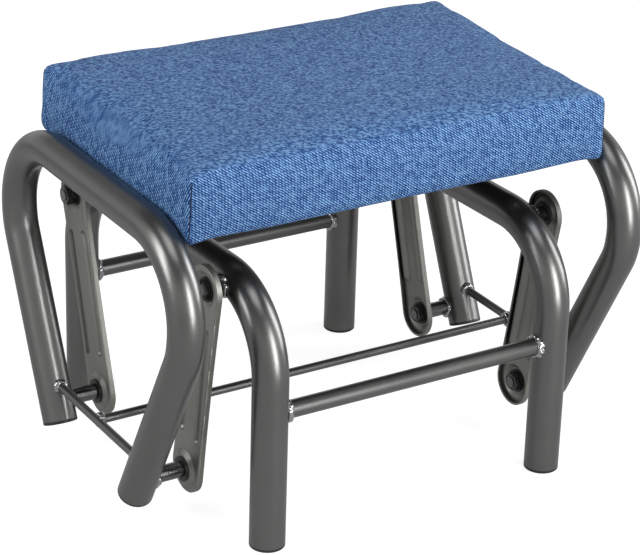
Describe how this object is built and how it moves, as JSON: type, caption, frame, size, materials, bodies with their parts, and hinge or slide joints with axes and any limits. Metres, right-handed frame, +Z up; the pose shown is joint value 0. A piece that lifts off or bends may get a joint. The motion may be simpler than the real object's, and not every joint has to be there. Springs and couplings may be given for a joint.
{
  "type": "glider ottoman",
  "caption": "Gliding footstool: a padded fabric cushion between bent tube bows that swing on pressed steel links hung from a standing base of bent tube hoops.",
  "frame": {"origin": "on the floor under the middle of the base", "axes": "+X to the user's right along the long side of the cushion, +Y to the rear, +Z up"},
  "size_m": [0.4876, 0.381, 0.3624],
  "materials": {
    "powder_coat": "satin charcoal metallic powder coat",
    "zinc": "bright zinc plating",
    "link_steel": "satin grey coating on pressed sheet steel",
    "black_plastic": "matt black moulded plastic",
    "plywood": "raw plywood",
    "dust_cloth": "thin black dust cloth",
    "blue_weave": "woven upholstery fabric of mixed blue yarns"
  },
  "bodies": {
    "base": {"base_crossbar_welds": "powder_coat", "base_foot_plugs": "black_plastic", "base_front_crossbar": "powder_coat", "base_left_hoop": "powder_coat", "base_left_studs": "zinc", "base_rear_crossbar": "powder_coat", "base_right_hoop": "powder_coat", "base_right_studs": "zinc", "base_stud_welds": "powder_coat", "upper_nuts": "zinc", "upper_washers": "zinc"},
    "front_right_link": {"front_right_link": "link_steel", "front_right_link_bushes": "black_plastic"},
    "front_left_link": {"front_left_link": "link_steel", "front_left_link_bushes": "black_plastic"},
    "rear_right_link": {"rear_right_link": "link_steel", "rear_right_link_bush": "black_plastic"},
    "rear_left_link": {"rear_left_link": "link_steel", "rear_left_link_bush": "black_plastic"},
    "seat": {"lower_nuts": "zinc", "lower_washers": "zinc", "rear_lower_bushes": "black_plastic", "seat_board": "plywood", "seat_cushion": "blue_weave", "seat_dust_cover": "dust_cloth", "seat_front_rail": "powder_coat", "seat_left_bow": "powder_coat", "seat_left_side_rod": "powder_coat", "seat_left_studs": "zinc", "seat_leg_plugs": "black_plastic", "seat_middle_rod": "powder_coat", "seat_rear_rail": "powder_coat", "seat_right_bow": "powder_coat", "seat_right_side_rod": "powder_coat", "seat_right_studs": "zinc", "seat_rod_welds": "powder_coat", "seat_screws": "zinc", "seat_stud_welds": "powder_coat"}
  },
  "joints": [
    {"name": "front_left_swing", "type": "hinge", "parent": "base", "child": "front_left_link", "pos_m": [-0.181, -0.117, 0.2265], "axis": [1, 0, 0], "range_deg": [-6, 14]},
    {"name": "front_right_swing", "type": "hinge", "parent": "base", "child": "front_right_link", "pos_m": [0.181, -0.117, 0.2265], "axis": [1, 0, 0], "range_deg": [-6, 14]},
    {"name": "rear_left_swing", "type": "hinge", "parent": "base", "child": "rear_left_link", "pos_m": [-0.181, 0.129, 0.2265], "axis": [1, 0, 0], "range_deg": [-6, 14]},
    {"name": "rear_right_swing", "type": "hinge", "parent": "base", "child": "rear_right_link", "pos_m": [0.181, 0.129, 0.2265], "axis": [1, 0, 0], "range_deg": [-6, 14]},
    {"name": "seat_swing", "type": "hinge", "parent": "front_left_link", "child": "seat", "pos_m": [-0.181, -0.08694, 0.04294], "axis": [1, 0, 0], "range_deg": [-21, 9]}
  ],
  "couplings": [
    {"joint": "front_right_swing", "follows": "front_left_swing", "ratio": 1},
    {"joint": "rear_left_swing", "follows": "front_left_swing", "ratio": 0.9922},
    {"joint": "rear_right_swing", "follows": "front_left_swing", "ratio": 0.9922},
    {"joint": "seat_swing", "follows": "front_left_swing", "ratio": -1.4891}
  ]
}
